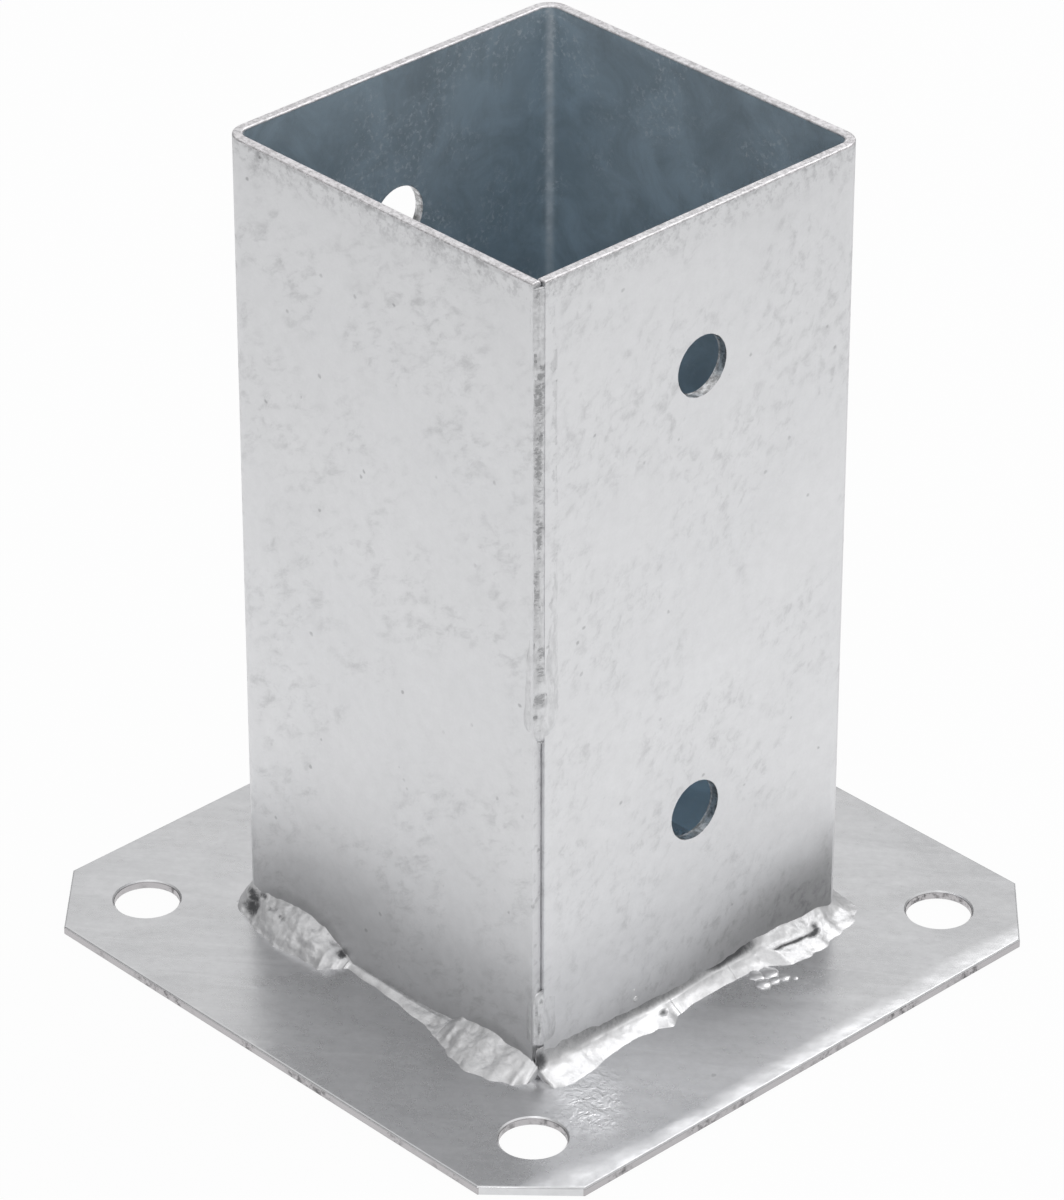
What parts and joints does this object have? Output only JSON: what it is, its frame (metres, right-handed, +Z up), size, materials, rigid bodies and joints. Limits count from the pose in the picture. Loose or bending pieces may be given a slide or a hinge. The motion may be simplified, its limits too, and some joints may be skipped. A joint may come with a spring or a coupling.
{
  "type": "timber post base",
  "caption": "Bolt-down timber post base: a folded square steel sleeve with post bolt holes, welded upright on a square plate with clipped corners and anchor holes.",
  "frame": {"origin": "centre of the base plate's underside", "axes": "+Z up out of the sleeve's mouth; -Y out of the front wall; +X out of the right wall, which has bolt holes, as the left wall has. The welded seam is the upright corner between the front and right walls"},
  "size_m": [0.13, 0.13, 0.1518],
  "materials": {
    "galvanised_sheet": "hot-dip galvanised steel sheet, matt to satin, with faint mottling and smudges",
    "weld_zinc": "zinc-coated weld bead, satin to bright, lumpy, with dark crevices"
  },
  "bodies": {
    "root": {"sleeve": "galvanised_sheet", "base_plate": "galvanised_sheet", "weld_foot_left_corner": "weld_zinc", "weld_foot_right_corner": "weld_zinc", "weld_foot_back_corner": "weld_zinc", "weld_foot_front": "weld_zinc", "weld_foot_right": "weld_zinc", "weld_seam_upper": "weld_zinc", "weld_seam_lower": "weld_zinc"}
  },
  "joints": []
}
